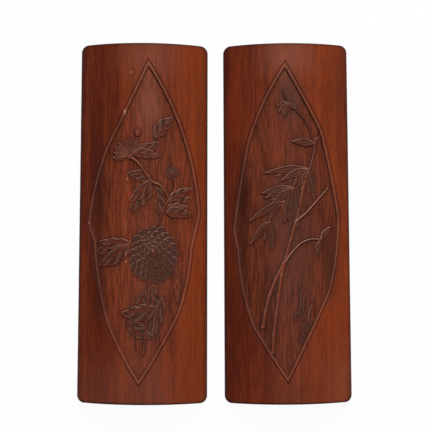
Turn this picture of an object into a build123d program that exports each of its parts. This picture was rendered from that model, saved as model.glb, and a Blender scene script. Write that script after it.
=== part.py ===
# A pair of carved bamboo wrist rests, lying side by side on a desk with their hollow sides down.
#
# Each rest is one slip split lengthways out of a big bamboo culm: a third of the round, cut from
# between two nodes, so that it has no diaphragm. Its two long edges are planed flat and stand on
# the desk, and the hollow between them bridges the wet ink while the wrist lies on the crown.
# The round face has a sunk picture with two pointed ends, edged by a ridge and a cut line. One
# rest shows a chrysanthemum and the other shows growing bamboo, both cut in low relief that
# stays just under the skin of the culm.
#
# X runs across the pair, Y along the grain to the head of the pictures, and Z is up.
# The origin is on the desk under the middle of the pair. Lengths are in millimetres.

from build123d import *
from math import cos, hypot, pi, radians, sin, sqrt
import os

# The bamboo slips
rest_length = 250.0
culm_radius = 74.0  # the skin of the culm, which is the round face
wall = 6.5  # from the round face to the hollow
edge_height = 2.2  # upright side of a long edge, at its lowest
chrysanthemum_head_width = 88.8
chrysanthemum_foot_width = 91.0
bamboo_head_width = 87.2
bamboo_foot_width = 89.0
pair_gap = 10.6  # free desk between the two rests at the foot, if they lay in line
foot_splay = 0.4  # degrees: each rest lies turned a little outwards at the foot
corner_radius = 5.0  # seen from above
face_bevel = 0.8  # worn edge round the whole face
hollow_bevel = 0.6  # worn edge of the hollow at each end

# The sunk pictures, seen from above
chrysanthemum_picture_half_length = 114.0
chrysanthemum_picture_half_width = 38.6
chrysanthemum_picture_turn = -1.25  # degrees: the head of the picture leans to the right
bamboo_picture_half_length = 112.5
bamboo_picture_half_width = 36.9
picture_rise = 0.8  # the pictures lie a little nearer to the head
groove_width = 1.0  # the cut line round a picture
ridge_width = 1.7  # the ridge between the cut line and the sunk ground

# Depths below the skin of the culm
groove_depth = 0.45
ground_depth = 1.5  # the sunk ground of the pictures
stem_depth = 0.35
front_leaf_depth = 0.5
back_leaf_depth = 0.85
blossom_rim_depth = 0.9
blossom_heart_depth = 0.2
rooting = 0.4  # how far the relief is carried down into the ground
above_skin = 1.0  # how far a cut reaches out over the skin

# Widths of the relief
culm_width = 2.5
knot_width = 3.3  # a culm's nodes
knot_length = 1.6
twig_width = 1.1
bamboo_leaf_width = 3.7
leaf_joint_radius = 0.9  # where a spray's leaves meet
stem_width = 2.0
blossom_half_width = 17.9
blossom_half_length = 20.4
blossom_rings = 4
outer_petals = 14  # petals in the outer ring
inner_petals = 7  # petals in the innermost ring
petal_overlap = 1.15  # a petal's width over its share of the ring
ring_turn = 10.0  # degrees that each ring is turned against the one outside it
heart_radius = 2.6
side_petal_length = 12.5
side_petal_width = 2.3
side_petals = 9
cup_radius = 2.2  # the cup that the side blossom's petals stand in
side_petal_fan = (55.0, 190.0)  # degrees from X, of the first petal and the last
bud_radius = 2.6
leaf_curl = 0.22  # how far a leaf bows to one side, as a share of its width
petal_curl = 0.1  # the same for narrow petals and blades of grass

# The pictures' borders and drawings were laid out by eye, so the two sides of a border differ.
# A point is a share of its picture's half width and half length, from its centre.
# Each arc of a border: a point on it, and its end. The arcs run from the head round by the right.
chrysanthemum_border = [
    ((0.74, 0.543), (1.065, 0.05)), ((1.0, -0.055), (0.94, -0.16)),
    ((0.875, -0.365), (0.735, -0.56)), ((0.39, -0.79), (0.02, -1.0)),
    ((-0.33, -0.817), (-0.63, -0.614)), ((-0.805, -0.38), (-0.907, -0.13)),
    ((-0.985, -0.07), (-1.023, 0.0)), ((-0.918, 0.23), (-0.717, 0.456)),
    ((-0.35, 0.723), (0.015, 1.0)),
]
bamboo_border = [
    ((0.352, 0.782), (0.697, 0.57)), ((0.882, 0.304), (1.025, 0.045)),
    ((0.975, -0.207), (0.818, -0.444)), ((0.397, -0.728), (-0.025, -1.0)),
    ((-0.363, -0.834), (-0.693, -0.658)), ((-0.9, -0.426), (-0.983, -0.178)),
    ((-1.04, -0.1), (-1.05, -0.018)), ((-0.933, 0.232), (-0.785, 0.489)),
    ((-0.478, 0.75), (-0.025, 1.0)),
]
main_culm = [(-0.315, -0.81), (-0.29, -0.69), (-0.24, -0.57), (-0.19, -0.45), (-0.13, -0.33),
             (-0.045, -0.22), (0.05, -0.11), (0.15, 0.0), (0.235, 0.10), (0.29, 0.20), (0.36, 0.28)]
second_culm = [(-0.50, -0.655), (-0.44, -0.55), (-0.36, -0.45), (-0.235, -0.35), (-0.08, -0.25)]
bamboo_twigs = [
    [(0.36, 0.28), (0.45, 0.35), (0.52, 0.48), (0.36, 0.615), (0.19, 0.685), (0.04, 0.73),
     (-0.10, 0.815)],
    [(0.15, 0.0), (0.34, 0.05), (0.51, 0.11), (0.65, 0.16), (0.79, 0.215)],
    [(-0.06, -0.25), (0.10, -0.215), (0.31, -0.145), (0.47, -0.115), (0.63, -0.11)],
]
# Each spray of bamboo leaves: where it hangs from, then the tips of its leaves
bamboo_sprays = [
    ((0.40, 0.325), [(-0.455, 0.30), (-0.14, 0.25), (0.10, 0.215), (0.305, 0.19), (0.51, 0.12)]),
    ((0.12, 0.207), [(-0.51, 0.175), (-0.44, 0.145), (-0.33, 0.10), (0.17, -0.05), (0.30, 0.035)]),
    ((-0.06, 0.125), [(-0.75, 0.0), (-0.06, -0.01), (0.02, 0.0)]),
    ((-0.335, 0.0), [(-0.73, -0.145), (-0.63, -0.08), (-0.285, -0.178)]),
    ((0.04, 0.73), [(-0.165, 0.705), (-0.13, 0.665), (0.19, 0.685)]),
    ((0.52, 0.48), [(0.07, 0.495), (0.60, 0.523)]),
    ((0.63, -0.11), [(0.82, -0.03), (0.56, -0.21)]),
]
rock_mounds = [((0.22, -0.58), 4.0), ((0.38, -0.645), 4.4), ((0.29, -0.72), 3.8)]  # centre, radius
grass_blades = [((0.24, -0.56), (0.25, -0.40)), ((0.28, -0.56), (0.33, -0.42)),
                ((0.36, -0.62), (0.46, -0.50))]

chrysanthemum_stems = [
    [(-0.25, 0.395), (-0.07, 0.343), (0.14, 0.25), (0.31, 0.222), (0.46, 0.15), (0.39, 0.09),
     (0.27, -0.02)],
    [(0.17, -0.35), (0.145, -0.47), (0.13, -0.60), (0.08, -0.80)],
    [(0.46, 0.15), (0.60, 0.19), (0.54, 0.285)],
    [(-0.25, 0.395), (-0.16, 0.46), (-0.13, 0.54)],
]
blossom_centre = (0.22, -0.20)
side_blossom_base = (-0.25, 0.395)
bud_centres = [(-0.13, 0.54), (0.525, 0.30)]
# Leaf lobes of the chrysanthemum: base, tip, width
front_lobes = [
    ((0.19, 0.51), (0.51, 0.64), 9.0), ((-0.20, 0.415), (0.265, 0.395), 7.0),
    ((0.14, 0.25), (-0.265, 0.12), 8.0), ((0.23, 0.22), (0.295, 0.05), 8.5),
    ((0.48, 0.13), (0.88, 0.215), 6.0), ((0.43, 0.06), (0.87, 0.045), 8.0),
    ((-0.21, -0.14), (-0.78, -0.27), 9.5), ((-0.20, -0.13), (-0.79, -0.125), 8.0),
    ((0.15, -0.54), (-0.33, -0.555), 8.5), ((0.62, -0.27), (0.68, -0.49), 4.5),
    ((0.41, -0.45), (0.24, -0.70), 6.5),
]
back_lobes = [
    ((-0.08, 0.44), (0.26, 0.485), 7.0), ((0.12, 0.25), (-0.28, 0.293), 7.5),
    ((0.17, 0.21), (-0.205, 0.06), 11.0), ((0.45, 0.11), (0.88, 0.155), 9.0),
    ((0.44, 0.09), (0.82, 0.10), 8.0), ((-0.20, -0.14), (-0.85, -0.20), 9.5),
    ((0.17, -0.58), (-0.23, -0.63), 9.0), ((0.22, -0.40), (0.38, -0.56), 7.0),
]

# Where the rests stand
pair_width = chrysanthemum_foot_width + pair_gap + bamboo_foot_width
chrysanthemum_middle = (chrysanthemum_foot_width - pair_width) / 2
bamboo_middle = (pair_width - bamboo_foot_width) / 2


def crown_height(foot_width):
    """The height of a rest's crown over the desk, from its widest end."""
    return edge_height + culm_radius - sqrt(culm_radius**2 - (foot_width / 2) ** 2)


def desk_plane(origin, turn):
    """The desk's plane with its origin under a point of it, turned about Z by some degrees."""
    return Plane(origin=(*origin, 0), x_dir=(cos(radians(turn)), sin(radians(turn)), 0))


def slip(crown, head_width, foot_width):
    """A plain slip of bamboo: a stretch of the culm's wall, trimmed to its outline."""
    head_y, foot_y = rest_length / 2, -rest_length / 2
    with BuildPart() as bamboo:
        with BuildSketch(Plane.XZ):
            with Locations((0, crown - culm_radius)):
                Circle(culm_radius)
                Circle(culm_radius - wall, mode=Mode.SUBTRACT)
            with Locations((0, crown / 2)):
                Rectangle(2 * culm_radius, crown, mode=Mode.INTERSECT)
        extrude(amount=rest_length, both=True)
        with BuildSketch() as outline:
            with BuildLine():
                Polyline(
                    (-head_width / 2, head_y),
                    (head_width / 2, head_y),
                    (foot_width / 2, foot_y),
                    (-foot_width / 2, foot_y),
                    close=True,
                )
            make_face()
            fillet(outline.vertices(), corner_radius)
        extrude(amount=crown, mode=Mode.INTERSECT)
        skin = bamboo.faces().filter_by(GeomType.CYLINDER).sort_by(Axis.Z)[-1]
        chamfer(skin.edges(), min(face_bevel, edge_height / 3))
        hollow = bamboo.faces().filter_by(GeomType.CYLINDER).sort_by(Axis.Z)[-2]
        chamfer(hollow.edges().filter_by(GeomType.CIRCLE), min(hollow_bevel, wall / 3))
    return bamboo.part


def layer(shape, crown, top_depth, low_depth):
    """The culm's wall under a shape seen from above, from one depth below the skin to another."""
    with BuildPart() as wall_layer:
        with Locations((0, 0, crown - culm_radius)):
            Cylinder(culm_radius - top_depth, rest_length, rotation=(90, 0, 0))
            Cylinder(culm_radius - low_depth, rest_length, rotation=(90, 0, 0), mode=Mode.SUBTRACT)
        extrude(shape, amount=2 * crown, mode=Mode.INTERSECT)
    return wall_layer.part


def border_outline(arcs, inset):
    """A border's outline, drawn in by an inset. Its arcs run clockwise, so the inside is on the right."""
    starts = [end for _, end in arcs[-1:] + arcs[:-1]]
    edges = [Edge.make_three_point_arc(start, *arc) for start, arc in zip(starts, arcs)]
    corners, middles = [], []
    for last, edge in zip(edges[-1:] + edges[:-1], edges):
        ahead = edge % 0
        along = (last % 1 + ahead).normalized()
        corners.append(edge @ 0 + Vector(along.Y, -along.X) * inset / along.dot(ahead))
        ahead = edge % 0.5
        middles.append(edge @ 0.5 + Vector(ahead.Y, -ahead.X) * inset)
    with BuildSketch() as face:
        with BuildLine():
            for start, middle, end in zip(corners, middles, corners[1:] + corners[:1]):
                ThreePointArc(start, middle, end)
        make_face()
    return face.sketch


def bamboo_outline(inset):
    """The bamboo picture's outline, drawn in by an inset."""
    arcs = [(bamboo_point(middle), bamboo_point(end)) for middle, end in bamboo_border]
    return border_outline(arcs, inset)


def chrysanthemum_outline(inset):
    """The chrysanthemum picture's outline, drawn in by an inset."""
    arcs = [
        (chrysanthemum_point(middle), chrysanthemum_point(end))
        for middle, end in chrysanthemum_border
    ]
    return border_outline(arcs, inset)


def blade(base, tip, width, curl):
    """A leaf blade from its base to its tip: two arcs, bowed to one side by a share of its width."""
    run = hypot(tip[0] - base[0], tip[1] - base[1])
    across = Vector((base[1] - tip[1]) / run, (tip[0] - base[0]) / run)
    middle = (Vector(*base) + Vector(*tip)) / 2
    with BuildSketch() as leaf:
        with BuildLine():
            ThreePointArc(base, middle + across * width * (curl + 0.5), tip)
            ThreePointArc(tip, middle + across * width * (curl - 0.5), base)
        make_face()
    return leaf.sketch


def stalk(points, width):
    """A stalk of one width through its points, with a mitre at each bend."""
    route = [Vector(*point) for point in points]
    runs = [(end - start).normalized() for start, end in zip(route, route[1:])]
    left, right = [], []
    for point, before, after in zip(route, runs[:1] + runs, runs + runs[-1:]):
        along = (before + after).normalized()
        mitre = Vector(-along.Y, along.X) * width / 2 / along.dot(after)
        left.append(point + mitre)
        right.append(point - mitre)
    with BuildSketch() as stem:
        with BuildLine():
            Polyline(*left, *reversed(right), close=True)
        make_face()
    return stem.sketch


def culm(points):
    """A culm of growing bamboo: a stalk with a short ring across it at each of its nodes."""
    route = [Vector(*point) for point in points]
    with BuildSketch() as jointed:
        add(stalk(points, culm_width))
        for node, before, after in zip(route, route[:1] + route, route[1:] + route[-1:]):
            half_ring = (after - before).normalized() * knot_length / 2
            ends = (node - half_ring, node + half_ring)
            add(stalk([(end.X, end.Y) for end in ends], knot_width))
    return jointed.sketch


def bamboo_point(share):
    """A point of the bamboo picture, in millimetres from its centre."""
    return (share[0] * bamboo_picture_half_width, share[1] * bamboo_picture_half_length)


def chrysanthemum_point(share):
    """A point of the chrysanthemum picture, in millimetres from its centre."""
    half_width, half_length = chrysanthemum_picture_half_width, chrysanthemum_picture_half_length
    return (share[0] * half_width, share[1] * half_length)


def picture(plane, outline, shapes):
    """Shapes joined on a picture's plane and kept inside its sunk ground."""
    with BuildSketch(plane) as drawing:
        for shape in shapes:
            add(shape)
        add(outline(groove_width + ridge_width), mode=Mode.INTERSECT)
    return drawing.sketch


def on_plane(plane, shape):
    """A flat shape laid on a picture's plane."""
    with BuildSketch(plane) as laid:
        add(shape)
    return laid.sketch


def cut_line(plane, outline):
    """The narrow line that is cut round a picture."""
    with BuildSketch(plane) as line:
        add(outline(0))
        add(outline(groove_width), mode=Mode.SUBTRACT)
    return line.sketch


def bamboo_leaves(first):
    """Every second leaf of each spray, beginning with the first or the second."""
    leaves = []
    for hub, tips in bamboo_sprays:
        for tip in tips[first::2]:
            curl = leaf_curl if tip[0] < hub[0] else -leaf_curl
            leaves.append(blade(bamboo_point(hub), bamboo_point(tip), bamboo_leaf_width, curl))
    return leaves


def petal_ring(number):
    """One ring of the blossom: an oval edged with round petals. Ring 0 is the outer one."""
    share = 1 - number / blossom_rings
    step = (outer_petals - inner_petals) / max(blossom_rings - 1, 1)
    petals = round(outer_petals - step * number)
    # Each petal just meets its neighbours, so that the edge is scalloped
    mean_reach = share * (blossom_half_width + blossom_half_length) / 2
    petal_radius = mean_reach * sin(pi / petals) / (1 + sin(pi / petals)) * petal_overlap
    across, along = (share * r - petal_radius for r in (blossom_half_width, blossom_half_length))
    angles = [2 * pi * k / petals + radians(ring_turn * number) for k in range(petals)]
    with BuildSketch() as ring:
        with Locations(chrysanthemum_point(blossom_centre)):
            Ellipse(across, along)
            with Locations(*[(across * cos(a), along * sin(a)) for a in angles]):
                Circle(petal_radius)
    return ring.sketch


def side_blossom():
    """The blossom seen from the side: a fan of narrow petals round its cup."""
    base = Vector(*chrysanthemum_point(side_blossom_base))
    petals = [disc((base.X, base.Y), cup_radius)]
    first, last = side_petal_fan
    for number in range(side_petals):
        angle = radians(first + (last - first) * number / (side_petals - 1))
        tip = base + Vector(cos(angle), sin(angle)) * side_petal_length
        petals.append(blade((base.X, base.Y), (tip.X, tip.Y), side_petal_width, petal_curl))
    return petals


def disc(centre, radius):
    """A round shape, such as a bud or a mound."""
    with BuildSketch() as round_shape:
        with Locations(centre):
            Circle(radius)
    return round_shape.sketch


# The bamboo rest
bamboo_crown = crown_height(bamboo_foot_width)
bamboo_picture = desk_plane((0, picture_rise), 0)
culms = [culm([bamboo_point(p) for p in points]) for points in (main_culm, second_culm)]
twigs = [stalk([bamboo_point(p) for p in points], twig_width) for points in bamboo_twigs]
mounds = [disc(bamboo_point(centre), radius) for centre, radius in rock_mounds]
leaf_joints = [disc(bamboo_point(hub), leaf_joint_radius) for hub, _ in bamboo_sprays]
grass = [
    blade(bamboo_point(base), bamboo_point(tip), twig_width, petal_curl)
    for base, tip in grass_blades
]

with BuildPart(desk_plane((bamboo_middle, 0), foot_splay)) as bamboo_wrist_rest:
    add(slip(bamboo_crown, bamboo_head_width, bamboo_foot_width))
    sunk_face = on_plane(bamboo_picture, bamboo_outline(groove_width + ridge_width))
    add(layer(sunk_face, bamboo_crown, -above_skin, ground_depth), mode=Mode.SUBTRACT)
    border = cut_line(bamboo_picture, bamboo_outline)
    add(layer(border, bamboo_crown, -above_skin, groove_depth), mode=Mode.SUBTRACT)
    for depth, shapes in (
        (back_leaf_depth, bamboo_leaves(0) + mounds),
        (front_leaf_depth, bamboo_leaves(1) + leaf_joints + twigs + grass),
        (stem_depth, culms),
    ):
        drawing = picture(bamboo_picture, bamboo_outline, shapes)
        add(layer(drawing, bamboo_crown, depth, ground_depth + rooting))

# The chrysanthemum rest
chrysanthemum_crown = crown_height(chrysanthemum_foot_width)
chrysanthemum_picture = desk_plane((0, picture_rise), chrysanthemum_picture_turn)
stems = [
    stalk([chrysanthemum_point(p) for p in points], stem_width) for points in chrysanthemum_stems
]
front_leaves = [
    blade(chrysanthemum_point(base), chrysanthemum_point(tip), width, leaf_curl)
    for base, tip, width in front_lobes
]
back_leaves = [
    blade(chrysanthemum_point(base), chrysanthemum_point(tip), width, -leaf_curl)
    for base, tip, width in back_lobes
]
ring_step = (blossom_rim_depth - blossom_heart_depth) / blossom_rings

with BuildPart(desk_plane((chrysanthemum_middle, 0), -foot_splay)) as chrysanthemum_wrist_rest:
    add(slip(chrysanthemum_crown, chrysanthemum_head_width, chrysanthemum_foot_width))
    sunk_face = on_plane(chrysanthemum_picture, chrysanthemum_outline(groove_width + ridge_width))
    add(layer(sunk_face, chrysanthemum_crown, -above_skin, ground_depth), mode=Mode.SUBTRACT)
    border = cut_line(chrysanthemum_picture, chrysanthemum_outline)
    add(layer(border, chrysanthemum_crown, -above_skin, groove_depth), mode=Mode.SUBTRACT)
    for depth, shapes in (
        (back_leaf_depth, back_leaves),
        (front_leaf_depth, front_leaves + side_blossom()),
        (stem_depth, stems + [disc(chrysanthemum_point(bud), bud_radius) for bud in bud_centres]),
        *[(blossom_rim_depth - ring_step * n, [petal_ring(n)]) for n in range(blossom_rings)],
        (blossom_heart_depth, [disc(chrysanthemum_point(blossom_centre), heart_radius)]),
    ):
        drawing = picture(chrysanthemum_picture, chrysanthemum_outline, shapes)
        add(layer(drawing, chrysanthemum_crown, depth, ground_depth + rooting))

os.makedirs("parts", exist_ok=True)
bamboo_wrist_rest.part.label = "bamboo_wrist_rest"
export_step(bamboo_wrist_rest.part, "parts/bamboo_wrist_rest.step")
chrysanthemum_wrist_rest.part.label = "chrysanthemum_wrist_rest"
export_step(chrysanthemum_wrist_rest.part, "parts/chrysanthemum_wrist_rest.step")
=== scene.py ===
"""A pair of carved bamboo wrist rests, seen from straight above.

Each rest is one slip of bamboo whose round face carries a sunk picture: a chrysanthemum on the left rest and
growing bamboo on the right one. All shapes are worked out with numpy in millimetres, first flat in the picture's
own plane, with a height over the skin of the culm, then wrapped round the culm and laid where the rest lies.
"""

import logging
from dataclasses import dataclass
from enum import Enum
from math import cos, pi, radians, sin
from typing import Sequence

import bpy
import numpy as np
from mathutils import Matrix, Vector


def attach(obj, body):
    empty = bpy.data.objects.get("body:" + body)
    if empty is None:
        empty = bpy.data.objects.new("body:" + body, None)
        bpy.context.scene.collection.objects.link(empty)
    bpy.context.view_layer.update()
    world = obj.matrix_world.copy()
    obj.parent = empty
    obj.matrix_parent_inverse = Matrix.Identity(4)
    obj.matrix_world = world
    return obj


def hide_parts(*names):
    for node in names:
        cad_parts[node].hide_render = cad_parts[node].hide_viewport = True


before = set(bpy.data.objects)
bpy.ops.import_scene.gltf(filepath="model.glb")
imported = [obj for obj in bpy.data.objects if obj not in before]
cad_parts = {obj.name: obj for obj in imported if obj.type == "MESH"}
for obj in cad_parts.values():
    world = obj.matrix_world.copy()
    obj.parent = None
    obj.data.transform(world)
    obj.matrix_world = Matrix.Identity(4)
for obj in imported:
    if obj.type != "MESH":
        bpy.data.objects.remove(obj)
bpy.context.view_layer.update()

log = logging.getLogger("wrist_rests")
Array = np.ndarray
Point = tuple[float, float]
Colour = tuple[float, float, float]

MILLIMETRE = 0.001
GROUND = -1.5  # the sunk ground, below the skin of the culm
HIGHLIGHT_FROM = np.array((-0.34, 0.94))  # which way a rim faces where its painted highlight is brightest
ROOT = -1.9  # how far down the relief is carried, so that it grows out of the ground


# ---------------------------------------------------------------------------------------------------------------
# The slip of bamboo and the picture on it
# ---------------------------------------------------------------------------------------------------------------


@dataclass(frozen=True)
class Slip:
    """The plain slip that a rest is carved from: a third of the round of a culm.

    Attributes:
        middle_x: where its middle lies on the desk, in millimetres.
        splay: degrees that it is turned about the upright axis.
        head_width: width at the head of the picture.
        foot_width: width at the foot of the picture.
    """

    middle_x: float
    splay: float
    head_width: float
    foot_width: float
    length: float = 250.0
    culm_radius: float = 74.0
    wall: float = 6.5
    edge_height: float = 2.2
    corner_radius: float = 5.0
    rim_radius: float = 1.1
    sole_bevel: float = 0.25
    hollow_bevel: float = 0.6

    @property
    def axis_height(self) -> float:
        """Height of the culm's axis over the desk, below zero."""
        return self.edge_height - float(np.sqrt(self.culm_radius**2 - (self.foot_width / 2) ** 2))

    def straight_half_width(self, y: Array) -> Array:
        """Half width without the rounded corners, which tapers evenly from foot to head."""
        share = (y + self.length / 2) / self.length
        return (self.foot_width + (self.head_width - self.foot_width) * share) / 2

    def half_width(self, y: Array) -> Array:
        """Half width at a distance along the slip, with a quarter circle taken off at each corner."""
        past = np.clip(np.abs(y) - (self.length / 2 - self.corner_radius), 0, self.corner_radius)
        drawn_in = self.corner_radius - np.sqrt(self.corner_radius**2 - past**2)
        return self.straight_half_width(y) - drawn_in

    def from_edge(self, x: Array, y: Array) -> Array:
        """Distance inside the outline seen from above.

        Args:
            x: places across the slip.
            y: places along it.

        Returns:
            The distance to the nearest side or end, or to the arc of a corner.
        """
        side = self.straight_half_width(y) - np.abs(x)
        end = self.length / 2 - np.abs(y)
        corner = self.corner_radius - np.hypot(self.corner_radius - side, self.corner_radius - end)
        return np.where((side < self.corner_radius) & (end < self.corner_radius), corner, np.minimum(side, end))

    def rim_drop(self, distance: Array) -> Array:
        """How far the worn rim falls away: a quarter circle of the rim's radius along the outline."""
        radius = self.rim_radius
        return radius - np.sqrt(radius**2 - np.clip(radius - distance, 0, radius) ** 2)

    def wrap(self, points: Array) -> Array:
        """Wraps flat points round the culm: each is moved out from its axis in proportion to its height.

        Args:
            points: x, y and height over the skin, in millimetres.

        Returns:
            x, y and z in the slip's own frame, with the desk at z 0.
        """
        x, y, height = points.T
        reach = 1 + height / self.culm_radius
        z = self.axis_height + np.sqrt(self.culm_radius**2 - x**2) * reach
        return np.column_stack((x * reach, y, z))

    def lay_down(self, points: Array) -> Array:
        """Turns and moves points from the slip's own frame to where the slip lies, in metres."""
        turn = radians(self.splay)
        x, y, z = points.T
        laid = (x * cos(turn) - y * sin(turn) + self.middle_x, x * sin(turn) + y * cos(turn), z)
        return np.column_stack(laid) * MILLIMETRE


def arc_through(start: Point, middle: Point, end: Point, count: int) -> Array:
    """Points on the circle that passes through three points.

    The centre is where the perpendicular bisectors of the two chords meet, and the angle goes evenly from the
    start to the end.

    Args:
        start: first point of the arc.
        middle: any point in between.
        end: last point of the arc.
        count: number of points.

    Returns:
        An array of that many points.
    """
    a, m, b = (np.array(point, float) for point in (start, middle, end))
    sides = np.stack((m - a, b - m))
    centre = np.linalg.solve(sides, np.array([sides[0] @ (m + a), sides[1] @ (b + m)]) / 2)
    first, last = (np.arctan2(*(point - centre)[::-1]) for point in (a, b))
    turn = (last - first + pi) % (2 * pi) - pi
    angle = first + turn * np.linspace(0, 1, count)
    return centre + np.hypot(*(a - centre)) * np.column_stack((np.cos(angle), np.sin(angle)))


@dataclass(frozen=True)
class Picture:
    """A sunk picture with two pointed ends, edged by a cut line and a ridge.

    Attributes:
        half_length: from its middle to a point.
        half_width: from its middle to its widest place, about.
        border: the arcs of its outline, from the head round by the right. Each is a point on the arc and the
            arc's end, in shares of the half width and half length, and begins where the last one ends.
        turn: degrees that it leans on its slip.
        rise: how far its middle lies from the slip's towards the head.
    """

    half_length: float
    half_width: float
    border: tuple[tuple[Point, Point], ...]
    turn: float = 0.0
    rise: float = 0.8

    def point(self, share: Point) -> Array:
        """A point given in shares of the half width and half length, in millimetres."""
        return np.array((share[0] * self.half_width, share[1] * self.half_length))

    def outline(self) -> Array:
        """The outline as a closed loop of points that begins and ends at the head."""
        loop = [self.point(self.border[-1][1])[None]]
        for middle, end in self.border:
            loop.append(arc_through(loop[-1][-1], self.point(middle), self.point(end), 61)[1:])
        return np.vstack(loop)

    def flanks(self) -> tuple[Array, Array]:
        """The left and the right side of the outline, each from foot to head."""
        loop = self.outline()
        foot = int(np.argmin(loop[:, 1]))
        return loop[foot:], loop[foot::-1]

    def on_slip(self, points: Array) -> Array:
        """Turns and raises flat points from the picture's frame into the slip's."""
        turn = radians(self.turn)
        x, y = points[:, 0], points[:, 1]
        laid = [x * cos(turn) - y * sin(turn), x * sin(turn) + y * cos(turn) + self.rise]
        return np.column_stack(laid + [points[:, k] for k in range(2, points.shape[1])])

    def off_slip(self, points: Array) -> Array:
        """Turns and lowers flat points from the slip's frame into the picture's."""
        turn = radians(self.turn)
        x, y = points[:, 0], points[:, 1] - self.rise
        return np.column_stack((x * cos(turn) + y * sin(turn), -x * sin(turn) + y * cos(turn)))

    def inside(self, points: Array) -> Array:
        """Distance from the outline, above zero inside it.

        The distance to each short run of the outline is the length from the point to its nearest place on the
        run, and the smallest counts. A point is inside where it lies between the two flanks at its height.

        Args:
            points: flat points in the picture's frame.

        Returns:
            One distance for each point, in millimetres.
        """
        loop = self.outline()
        starts, runs = loop[:-1], np.diff(loop, axis=0)
        squares = (runs**2).sum(1)
        nearest = np.empty(len(points))
        for chunk in np.array_split(np.arange(len(points)), max(1, len(points) // 4000)):
            gap = points[chunk, None] - starts
            along = np.clip((gap * runs).sum(2) / squares, 0, 1)
            nearest[chunk] = np.sqrt(((gap - along[..., None] * runs) ** 2).sum(2).min(1))
        left, right = (np.interp(points[:, 1], side[:, 1], side[:, 0]) for side in self.flanks())
        within = (points[:, 0] > left) & (points[:, 0] < right) & (np.abs(points[:, 1]) < self.half_length)
        return np.where(within, nearest, -nearest)


# ---------------------------------------------------------------------------------------------------------------
# Closed meshes
# ---------------------------------------------------------------------------------------------------------------


@dataclass
class Shell:
    """A closed mesh in the making.

    Attributes:
        points: flat or wrapped points.
        quads: four corners of each face.
        ends: faces with many corners, which close its ends.
        wear_and_highlight: how far each point is rubbed light or carries a painted highlight, up to 1, or below zero
            how far it is left warm and red, which on rims facing away from the painted light is painted shade.
        grime_and_shade: how much dirt and painted shade lie at it, from 0 to 1.
        sunk: 0 on the skin of the culm, 1 on the sunk ground, 2 on the relief, 3 on the blossom.
    """

    points: Array
    quads: Array
    ends: list[list[int]]
    wear_and_highlight: Array
    grime_and_shade: Array
    sunk: Array

    @staticmethod
    def joined(shells: Sequence["Shell"]) -> "Shell":
        """Puts several shells in one mesh, each closed in itself."""
        starts = np.cumsum([0] + [len(shell.points) for shell in shells])
        return Shell(
            np.vstack([shell.points for shell in shells]),
            np.vstack([shell.quads + start for shell, start in zip(shells, starts)]),
            [[k + int(start) for k in end] for shell, start in zip(shells, starts) for end in shell.ends],
            *(np.concatenate([getattr(shell, mark) for shell in shells]) for mark in ("wear_and_highlight", "grime_and_shade", "sunk")),
        )

    def mesh(self, name: str, crease: float = 50.0) -> bpy.types.Object:
        """Makes the Blender object, smooth but for edges sharper than the crease angle.

        Args:
            name: the piece's name.
            crease: degrees over which an edge stays sharp.

        Returns:
            The linked object, at the origin.
        """
        mesh = bpy.data.meshes.new(name)
        mesh.from_pydata(self.points, [], self.quads.tolist() + self.ends)
        for mark in ("wear_and_highlight", "grime_and_shade", "sunk"):
            layer = mesh.attributes.new(mark, "FLOAT", "POINT")
            layer.data.foreach_set("value", getattr(self, mark).astype(np.float32))
        mesh.shade_smooth()
        mesh.set_sharp_from_angle(angle=radians(crease))
        mesh.update()
        piece = bpy.data.objects.new(name, mesh)
        bpy.context.scene.collection.objects.link(piece)
        return piece


def skin_of_loops(rows: int, ring: int) -> tuple[Array, list[list[int]]]:
    """Faces of a tube whose loops of points follow each other.

    Args:
        rows: number of loops.
        ring: points in each loop.

    Returns:
        The quads between neighbouring loops, and one many-cornered face over the first and the last loop.
    """
    row, place = np.meshgrid(np.arange(rows - 1), np.arange(ring), indexing="ij")
    after = (place + 1) % ring
    corners = (row * ring + place, row * ring + after, (row + 1) * ring + after, (row + 1) * ring + place)
    last = (rows - 1) * ring
    quads = np.stack([corner.ravel() for corner in corners], axis=1)
    return quads, [list(range(ring))[::-1], list(range(last, last + ring))]


def unevenness(x: Array, y: Array, size: float, seed: int) -> Array:
    """Smooth unevenness between -1 and 1: the mean of eight waves with seeded directions and lengths.

    Args:
        x: places across.
        y: places along.
        size: usual length of a wave, in the units of x and y.
        seed: which waves.

    Returns:
        One value for each place.
    """
    chance = np.random.default_rng(seed)
    total = np.zeros(np.broadcast(x, y).shape)
    for _ in range(8):
        heading, phase = chance.uniform(0, 2 * pi, 2)
        wave = 2 * pi / (size * chance.uniform(0.6, 1.8))
        total += np.sin(wave * (x * cos(heading) + y * sin(heading)) + phase)
    return total / 8**0.5 / 1.8


# ---------------------------------------------------------------------------------------------------------------
# Relief
# ---------------------------------------------------------------------------------------------------------------


def eased(count: int) -> Array:
    """Shares from 0 to 1 that lie closer at both ends, by a half turn of a cosine."""
    return (1 - np.cos(np.linspace(0, pi, count))) / 2


def smooth_run(points: Sequence[Point], count: int) -> Array:
    """A smooth line through points, by Catmull and Rom's cubic, with even steps.

    Args:
        points: what the line passes through.
        count: number of points wanted.

    Returns:
        That many points, evenly spaced along the line.
    """
    given = np.array(points, float)
    padded = np.vstack((2 * given[0] - given[1], given, 2 * given[-1] - given[-2]))
    t = np.linspace(0, 1, 24, endpoint=False)[:, None]
    spans = [
        b + t / 2 * (c - a + t * (2 * a - 5 * b + 4 * c - d + t * (3 * (b - c) + d - a)))
        for a, b, c, d in zip(padded, padded[1:], padded[2:], padded[3:])
    ]
    line = np.vstack(spans + [given[-1:]])
    reach = np.concatenate(([0], np.cumsum(np.hypot(*np.diff(line, axis=0).T))))
    even = np.linspace(0, reach[-1], count)
    return np.column_stack([np.interp(even, reach, line[:, k]) for k in (0, 1)])


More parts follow.
